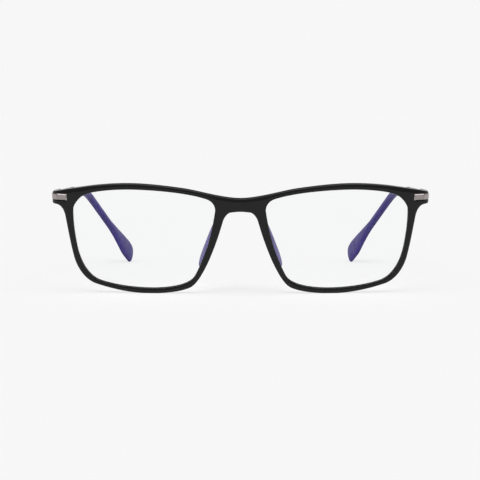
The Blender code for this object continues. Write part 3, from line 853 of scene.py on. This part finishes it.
def oval_ring(along, thickness, height, out=0.0, up=0.0, sides=56):
    """A section of the sleeve: an oval with full shoulders."""
    centre, sideways, upward = temple_place(along)
    centre += sideways * out + upward * up
    ring = []
    for i in range(sides):
        turn = 2 * math.pi * (i + 0.5) / sides
        c, s = math.cos(turn), math.sin(turn)
        u = math.copysign(abs(c) ** (2 / SLEEVE_SQUARENESS), c) * thickness / 2
        v = math.copysign(abs(s) ** (2 / SLEEVE_SQUARENESS), s) * height / 2
        ring.append(centre + sideways * u + upward * v)
    return ring


def temple_arm():
    """The slim metal arm, which runs on into the sleeve."""
    return moved(loft([bar_ring(*row) for row in eased(ARM_SECTIONS, LOFT_STEP)]), HINGE)


def temple_tip():
    """The soft sleeve, flattened and widened towards its end."""
    return moved(loft([oval_ring(*row) for row in eased(SLEEVE_SECTIONS, LOFT_STEP)]), HINGE)


# ---------------------------------------------------------------- materials
class Nodes:
    """A new node material and a short way to add nodes to it."""

    def __init__(self, name):
        self.material = bpy.data.materials.new(name)
        self.material.use_nodes = True
        self.tree = self.material.node_tree
        self.shader = self.tree.nodes["Principled BSDF"]
        self.place = self.add("ShaderNodeTexCoord").outputs["Object"]

    def add(self, kind):
        """One new node."""
        return self.tree.nodes.new(kind)

    def link(self, source, target):
        """Join two sockets."""
        self.tree.links.new(source, target)

    def noise(self, per_metre, detail=4.0, stretch=(1, 1, 1), roughness=0.5):
        """Noise with a number of features per metre, stretched along an axis."""
        mapping = self.add("ShaderNodeMapping")
        mapping.inputs["Scale"].default_value = stretch
        noise = self.add("ShaderNodeTexNoise")
        noise.inputs["Scale"].default_value = per_metre
        noise.inputs["Detail"].default_value = detail
        noise.inputs["Roughness"].default_value = roughness
        self.link(self.place, mapping.inputs["Vector"])
        self.link(mapping.outputs["Vector"], noise.inputs["Vector"])
        return noise.outputs["Fac"]

    def spread(self, source, low, high, start=0.3, end=0.7):
        """A noise output mapped to a range of values."""
        ranged = self.add("ShaderNodeMapRange")
        ranged.inputs["From Min"].default_value = start
        ranged.inputs["From Max"].default_value = end
        ranged.inputs["To Min"].default_value = low
        ranged.inputs["To Max"].default_value = high
        self.link(source, ranged.inputs["Value"])
        return ranged.outputs["Result"]

    def colours(self, source, dark, light, start=0.3, end=0.7):
        """A noise output turned into a colour between two."""
        ramp = self.add("ShaderNodeValToRGB")
        ramp.color_ramp.elements[0].position = start
        ramp.color_ramp.elements[1].position = end
        ramp.color_ramp.elements[0].color = (*dark, 1.0)
        ramp.color_ramp.elements[1].color = (*light, 1.0)
        self.link(source, ramp.inputs["Fac"])
        self.link(ramp.outputs["Color"], self.shader.inputs["Base Color"])

    def bumps(self, layers):
        """Bump from layers of (noise output, height in mm)."""
        normal = None
        for source, height in layers:
            bump = self.add("ShaderNodeBump")
            bump.inputs["Strength"].default_value = 1.0
            bump.inputs["Distance"].default_value = height * METRES
            self.link(source, bump.inputs["Height"])
            if normal:
                self.link(normal, bump.inputs["Normal"])
            normal = bump.outputs["Normal"]
        self.link(normal, self.shader.inputs["Normal"])

    def set(self, **values):
        """Constant values on the shader's own sockets."""
        for key, value in values.items():
            self.shader.inputs[key.replace("_", " ")].default_value = value


def gloss_black():
    """Injection-moulded black plastic, polished: deep, with the faintest haze and flow."""
    made = Nodes("gloss_black")
    dark, light, roughness = BLACK_LOOK
    made.colours(made.noise(900.0, 5.0), dark, light)
    made.link(made.spread(made.noise(260.0, 6.0), *roughness), made.shader.inputs["Roughness"])
    made.bumps([(made.noise(6000.0, 3.0), 0.0006), (made.noise(120.0, 1.0), 0.004)])
    made.set(IOR=1.48, Specular_IOR_Level=0.45)
    return made.material


def clear_lens():
    """Clear lens with the weak reflections of a coated one, and a faint cool cast."""
    made = Nodes("clear_lens")
    made.colours(made.noise(60.0, 2.0), *LENS_COLOURS)
    made.set(IOR=1.2, Roughness=0.0, Transmission_Weight=1.0)
    return made.material


def brushed(name, dark, light, roughness, grain, stretch):
    """Metal with fine brushing along its length."""
    made = Nodes(name)
    lines = made.noise(grain, 6.0, stretch, 0.65)
    made.colours(lines, dark, light, 0.25, 0.75)
    made.link(made.spread(lines, *roughness), made.shader.inputs["Roughness"])
    made.bumps([(lines, 0.004), (made.noise(90.0, 2.0), 0.006)])
    made.set(Metallic=1.0)
    return made.material


def soft_purple(name, dark, light, roughness, speckle):
    """Dyed soft plastic with a satin, slightly grained surface."""
    made = Nodes(name)
    made.colours(made.noise(140.0, 5.0), dark, light)
    satin = made.spread(made.noise(420.0, 5.0), *roughness)
    made.link(satin, made.shader.inputs["Roughness"])
    made.bumps([(made.noise(speckle, 3.0), 0.002), (made.noise(180.0, 2.0), 0.01)])
    made.set(IOR=1.45, Specular_IOR_Level=0.25)
    return made.material


# ---------------------------------------------------------------- assembly
def place(name, mesh, mat, body, node):
    """Put a finished mesh in the scene as a named piece that stands for a CAD node."""
    mesh.name = name
    mesh.transform(Matrix.Scale(METRES, 4))
    mesh.materials.clear()
    mesh.materials.append(mat)
    mesh.shade_smooth()
    mesh.set_sharp_from_angle(angle=math.radians(SHARP_ANGLE))
    ob = bpy.data.objects.new(name, mesh)
    bpy.context.scene.collection.objects.link(ob)
    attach(ob, body)
    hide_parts(node)
    return ob


def pieces():
    """Every visible piece. The +X meshes are drawn, and the -X ones are their mirror images."""
    black = gloss_black()
    clear = clear_lens()
    trim_metal = brushed("gunmetal_trim", *TRIM_LOOK, grain=2600.0, stretch=(0.06, 0.06, 1))
    arm_metal = brushed("gunmetal_arm", *ARM_LOOK, grain=2600.0, stretch=(1, 0.04, 1))
    steel = brushed("dark_steel", *STEEL_LOOK, grain=1800.0, stretch=(1, 1, 1))
    purple = soft_purple("purple_soft", *SLEEVE_LOOK, speckle=5200.0)
    silicone = soft_purple("purple_silicone", *PAD_LOOK, speckle=3000.0)

    place("front_frame_moulding", front_frame(), black, "front", "front_frame")
    halves = [
        ("lens", lens(), clear, "clear_lens", "front"),
        ("nose_pad", nose_pad(), silicone, "purple_silicone", "front"),
        ("trim_plate", trim_plate(), trim_metal, "gunmetal", "front"),
        ("front_hinge", front_hinge(), steel, "dark_steel", "front"),
        ("hinge_screw", hinge_screw(), steel, "dark_steel", "front"),
        ("leaf_screw_upper", leaf_screw(1), steel, "dark_steel", "front"),
        ("leaf_screw_lower", leaf_screw(-1), steel, "dark_steel", "front"),
        ("temple_hinge", temple_hinge(), steel, "dark_steel", "temple"),
        ("temple_arm", temple_arm(), arm_metal, "gunmetal", "temple"),
        ("temple_tip", temple_tip(), purple, "purple_soft", "temple"),
    ]
    for name, mesh, mat, slot, body in halves:
        for side, shape in (("right", mirrored(mesh)), ("left", mesh)):
            node = f"{name}_{side}"
            rides = body if body == "front" else f"{body}_{side}"
            piece = place(f"{name}_shown_{side}", shape, mat, rides, node)
            if name == "lens":
                piece.visible_shadow = False


# ---------------------------------------------------------------- stage
def seen_directly(tree):
    """A socket that is 1 for what is seen, straight or through a lens, and 0 for what lights."""
    path = tree.nodes.new("ShaderNodeLightPath")
    direct = tree.nodes.new("ShaderNodeMath")
    direct.operation = "MAXIMUM"
    tree.links.new(path.outputs["Is Camera Ray"], direct.inputs[0])
    tree.links.new(path.outputs["Is Transmission Ray"], direct.inputs[1])
    return direct.outputs[0]


def studio():
    """A white sweep behind, a dim room in front and at the sides, and soft light from above."""
    scene = bpy.context.scene
    world = bpy.data.worlds.new("studio")
    scene.world = world
    world.use_nodes = True
    tree = world.node_tree
    tree.nodes.clear()

    def node(kind, **values):
        """One world node, with values for its sockets by name."""
        made = tree.nodes.new(kind)
        for key, value in values.items():
            made.inputs[key.replace("_", " ")].default_value = value
        return made

    output = tree.nodes.new("ShaderNodeOutputWorld")
    seen = node("ShaderNodeBackground", Color=(BACKDROP, BACKDROP, BACKDROP, 1))
    light = node("ShaderNodeBackground")
    mix = tree.nodes.new("ShaderNodeMixShader")
    tree.links.new(seen_directly(tree), mix.inputs["Fac"])
    tree.links.new(light.outputs[0], mix.inputs[1])
    tree.links.new(seen.outputs[0], mix.inputs[2])
    tree.links.new(mix.outputs[0], output.inputs["Surface"])

    coordinate = tree.nodes.new("ShaderNodeTexCoord")
    parts = tree.nodes.new("ShaderNodeSeparateXYZ")
    tree.links.new(coordinate.outputs["Generated"], parts.inputs[0])

    def ramp(source, start, end, low, high):
        """A smooth step of brightness along one direction."""
        ranged = node("ShaderNodeMapRange", From_Min=start, From_Max=end, To_Min=low, To_Max=high)
        ranged.interpolation_type = "SMOOTHSTEP"
        tree.links.new(source, ranged.inputs["Value"])
        return ranged.outputs["Result"]

    def math_node(operation, first, second=None):
        """The output of one math node."""
        made = tree.nodes.new("ShaderNodeMath")
        made.operation = operation
        tree.links.new(first, made.inputs[0])
        if second:
            tree.links.new(second, made.inputs[1])
        return made.outputs[0]

    across, back, up = (parts.outputs[axis] for axis in "XYZ")
    room = ramp(back, *ROOM_BACK, ROOM_LIGHT, DARK_LIGHT)
    sides = ramp(math_node("ABSOLUTE", across), *SIDES_ACROSS, 0.0, SIDE_LIGHT)
    low_sweep = ramp(up, *SWEEP_UP, SWEEP_LIGHT, 0.0)
    strip_foot = ramp(up, *STRIP_UP, 0.0, STRIP_LIGHT)
    strip = math_node("MULTIPLY", strip_foot, ramp(up, *STRIP_TOP_UP, 1.0, 0.0))
    rear = ramp(back, *BEHIND_BACK, 0.0, 1.0)
    behind = math_node("MULTIPLY", rear, math_node("ADD", low_sweep, strip))
    overhead = ramp(up, *CEILING_UP, 0.0, CEILING_LIGHT)
    ceiling = math_node("MULTIPLY", overhead, ramp(back, *CEILING_BACK, 1.0, 0.0))
    total = math_node("ADD", math_node("ADD", room, sides), math_node("ADD", behind, ceiling))
    tree.links.new(total, light.inputs["Strength"])

    for name, turn_x, turn_z, energy, spread in LAMPS:
        lamp = bpy.data.lights.new(name, "SUN")
        lamp.energy = energy
        lamp.angle = math.radians(spread)
        ob = bpy.data.objects.new(name, lamp)
        ob.rotation_euler = (math.radians(turn_x), 0, math.radians(turn_z))
        ob.visible_glossy = False
        scene.collection.objects.link(ob)


def floor():
    """A pale floor that shows only the softest contact shadow."""
    mesh = bpy.data.meshes.new("floor")
    level = CAD_BOX[0][2]
    signs = ((-1, -1), (1, -1), (1, 1), (-1, 1))
    corners = [(x * FLOOR_HALF, y * FLOOR_HALF, level) for x, y in signs]
    mesh.from_pydata(corners, [], [(0, 1, 2, 3)])
    mat = bpy.data.materials.new("pale_floor")
    mat.use_nodes = True
    tree = mat.node_tree
    tree.nodes.clear()
    output = tree.nodes.new("ShaderNodeOutputMaterial")
    diffuse = tree.nodes.new("ShaderNodeBsdfDiffuse")
    diffuse.inputs["Color"].default_value = (FLOOR_ALBEDO, FLOOR_ALBEDO, FLOOR_ALBEDO, 1)
    glow = tree.nodes.new("ShaderNodeEmission")
    strength = tree.nodes.new("ShaderNodeMapRange")
    strength.inputs["To Min"].default_value = FLOOR_GLOW
    strength.inputs["To Max"].default_value = FLOOR_SHOWN
    both = tree.nodes.new("ShaderNodeAddShader")
    tree.links.new(seen_directly(tree), strength.inputs["Value"])
    tree.links.new(strength.outputs["Result"], glow.inputs["Strength"])
    tree.links.new(diffuse.outputs[0], both.inputs[0])
    tree.links.new(glow.outputs[0], both.inputs[1])
    tree.links.new(both.outputs[0], output.inputs["Surface"])
    mesh.materials.append(mat)
    ob = bpy.data.objects.new("floor", mesh)
    bpy.context.scene.collection.objects.link(ob)


def camera():
    """The camera, level with the photograph's."""
    contact = FRONT @ Vector((LENS_CENTRE[0], face_curve(LENS_CENTRE[0], 0.0), 0.0))
    data = bpy.data.cameras.new("camera")
    data.lens = CAMERA_LENS
    data.sensor_width = CAMERA_SENSOR
    data.clip_start, data.clip_end = CAMERA_CLIP
    ob = bpy.data.objects.new("camera", data)
    ob.location = Vector((CAMERA_ACROSS, contact.y - CAMERA_BACK, CAMERA_HEIGHT)) * METRES
    ob.rotation_euler = (math.radians(90 - CAMERA_PITCH), 0, 0)
    bpy.context.scene.collection.objects.link(ob)
    bpy.context.scene.camera = ob


bpy.context.scene.view_settings.view_transform = "Standard"
pieces()
studio()
floor()
camera()
